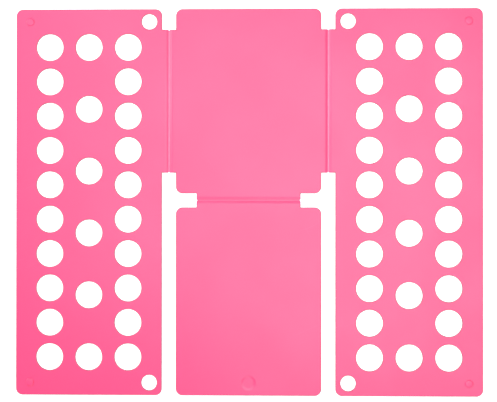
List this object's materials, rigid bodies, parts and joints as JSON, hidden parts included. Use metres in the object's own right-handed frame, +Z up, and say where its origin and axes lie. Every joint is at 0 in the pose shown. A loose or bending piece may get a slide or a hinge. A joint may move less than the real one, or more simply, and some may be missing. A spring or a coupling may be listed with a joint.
{
  "type": "shirt folding board",
  "caption": "Flat four-panel clothes folding board in one plastic sheet: two perforated side wings and a lower flap fold over a fixed centre panel on moulded living hinges.",
  "frame": {"origin": "centre of the open board's outline, on its underside", "axes": "+X towards the right wing, +Y towards the top edge, away from the flap, +Z up out of the folding face, which carries the pegs"},
  "size_m": [0.7, 0.58, 0.0042],
  "materials": {
    "moulded_plastic": "satin, fine moulded texture"
  },
  "bodies": {
    "centre": {"upper_panel": "moulded_plastic", "left_hinge_inner_leaf": "moulded_plastic", "right_hinge_inner_leaf": "moulded_plastic", "flap_hinge_inner_leaf": "moulded_plastic"},
    "left_inner_flank": {"left_hinge_inner_flank": "moulded_plastic"},
    "left_outer_flank": {"left_hinge_outer_flank": "moulded_plastic"},
    "left_wing": {"left_wing_panel": "moulded_plastic", "left_hinge_outer_leaf": "moulded_plastic", "left_wing_upper_peg": "moulded_plastic", "left_wing_lower_peg": "moulded_plastic"},
    "right_inner_flank": {"right_hinge_inner_flank": "moulded_plastic"},
    "right_outer_flank": {"right_hinge_outer_flank": "moulded_plastic"},
    "right_wing": {"right_wing_panel": "moulded_plastic", "right_hinge_outer_leaf": "moulded_plastic", "right_wing_upper_peg": "moulded_plastic", "right_wing_lower_peg": "moulded_plastic"},
    "flap_inner_flank": {"flap_hinge_inner_flank": "moulded_plastic"},
    "flap_outer_flank": {"flap_hinge_outer_flank": "moulded_plastic"},
    "flap": {"lower_flap_panel": "moulded_plastic", "flap_hinge_outer_leaf": "moulded_plastic"}
  },
  "joints": [
    {"name": "left_inner_bend", "type": "hinge", "parent": "centre", "child": "left_inner_flank", "pos_m": [-0.1125, 0.1515, 0.0022], "axis": [0, 1, 0], "range_deg": [0, 40.4]},
    {"name": "left_crease", "type": "hinge", "parent": "left_inner_flank", "child": "left_outer_flank", "pos_m": [-0.1195, 0.1515, 0.0006], "axis": [0, 1, 0], "range_deg": [0, 99.53]},
    {"name": "left_outer_bend", "type": "hinge", "parent": "left_outer_flank", "child": "left_wing", "pos_m": [-0.1265, 0.1515, 0.0022], "axis": [0, 1, 0], "range_deg": [0, 40.4]},
    {"name": "right_inner_bend", "type": "hinge", "parent": "centre", "child": "right_inner_flank", "pos_m": [0.1125, 0.1515, 0.0022], "axis": [0, -1, 0], "range_deg": [0, 52.9]},
    {"name": "right_crease", "type": "hinge", "parent": "right_inner_flank", "child": "right_outer_flank", "pos_m": [0.1195, 0.1515, 0.0006], "axis": [0, -1, 0], "range_deg": [0, 74.57]},
    {"name": "right_outer_bend", "type": "hinge", "parent": "right_outer_flank", "child": "right_wing", "pos_m": [0.1265, 0.1515, 0.0022], "axis": [0, -1, 0], "range_deg": [0, 52.9]},
    {"name": "flap_inner_bend", "type": "hinge", "parent": "centre", "child": "flap_inner_flank", "pos_m": [0, 0.0095, 0.0022], "axis": [-1, 0, 0], "range_deg": [0, 21]},
    {"name": "flap_crease", "type": "hinge", "parent": "flap_inner_flank", "child": "flap_outer_flank", "pos_m": [0, 0.0025, 0.0006], "axis": [-1, 0, 0], "range_deg": [0, 138.24]},
    {"name": "flap_outer_bend", "type": "hinge", "parent": "flap_outer_flank", "child": "flap", "pos_m": [0, -0.0045, 0.0022], "axis": [-1, 0, 0], "range_deg": [0, 21]}
  ],
  "couplings": [
    {"joint": "left_inner_bend", "follows": "left_crease", "ratio": 0.40425},
    {"joint": "left_outer_bend", "follows": "left_crease", "ratio": 0.40425},
    {"joint": "right_inner_bend", "follows": "right_crease", "ratio": 0.70686},
    {"joint": "right_outer_bend", "follows": "right_crease", "ratio": 0.70686},
    {"joint": "flap_inner_bend", "follows": "flap_crease", "ratio": 0.15105},
    {"joint": "flap_outer_bend", "follows": "flap_crease", "ratio": 0.15105}
  ]
}
